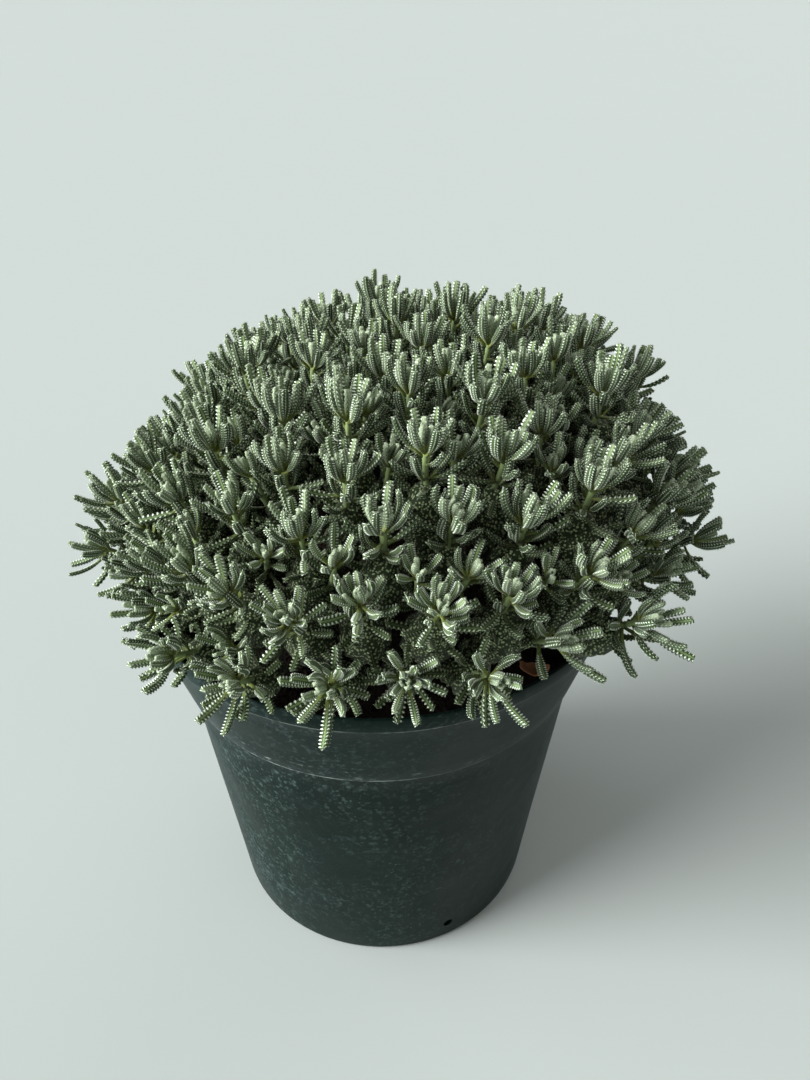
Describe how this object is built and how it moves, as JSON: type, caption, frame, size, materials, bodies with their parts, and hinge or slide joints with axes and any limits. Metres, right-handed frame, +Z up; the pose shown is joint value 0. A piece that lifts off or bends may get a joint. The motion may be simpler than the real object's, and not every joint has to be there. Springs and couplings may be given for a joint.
{
  "type": "potted cotton lavender",
  "caption": "Dome of silver-grey cotton lavender shoots with toothed, woolly leaves, growing in a dark round nursery pot with a flared collar, filled with soil.",
  "frame": {"origin": "centre of the pot's underside, on the surface it stands on", "axes": "+Z is up; the picture looks along +Y and down, so -Y is the front and +X its right"},
  "size_m": [0.2484, 0.2416, 0.2709],
  "materials": {
    "pot_plastic": "thin dark blue-green charcoal plastic, satin, with pale scuffs and dust",
    "potting_soil": "dark crumbly bark and peat mix",
    "bark": "grey-brown fissured bark",
    "foliage": "grey-green leaves covered in fine silvery wool, paler at the teeth and tips",
    "dry_leaf": "dry rusty-brown leaf, matt"
  },
  "bodies": {
    "root": {"pot": "pot_plastic", "soil": "potting_soil", "woody_base": "bark", "leafy_stem_01": "foliage", "leafy_stem_02": "foliage", "leafy_stem_03": "foliage", "leafy_stem_04": "foliage", "leafy_stem_05": "foliage", "leafy_stem_06": "foliage", "leafy_stem_07": "foliage", "leafy_stem_08": "foliage", "leafy_stem_09": "foliage", "leafy_stem_10": "foliage", "leafy_stem_11": "foliage", "leafy_stem_12": "foliage", "leafy_stem_13": "foliage", "leafy_stem_14": "foliage", "leafy_stem_15": "foliage", "leafy_stem_16": "foliage", "leafy_stem_17": "foliage", "leafy_stem_18": "foliage", "leafy_stem_19": "foliage", "leafy_stem_20": "foliage", "leafy_stem_21": "foliage", "leafy_stem_22": "foliage", "leafy_stem_23": "foliage", "leafy_stem_24": "foliage", "leafy_stem_25": "foliage", "leafy_stem_26": "foliage", "leafy_stem_27": "foliage", "leafy_stem_28": "foliage", "leafy_stem_29": "foliage", "leafy_stem_30": "foliage", "leafy_stem_31": "foliage", "leafy_stem_32": "foliage", "leafy_stem_33": "foliage", "leafy_stem_34": "foliage", "leafy_stem_35": "foliage", "leafy_stem_36": "foliage", "leafy_stem_37": "foliage", "leafy_stem_38": "foliage", "leafy_stem_39": "foliage", "leafy_stem_40": "foliage", "dry_leaf": "dry_leaf"}
  },
  "joints": []
}
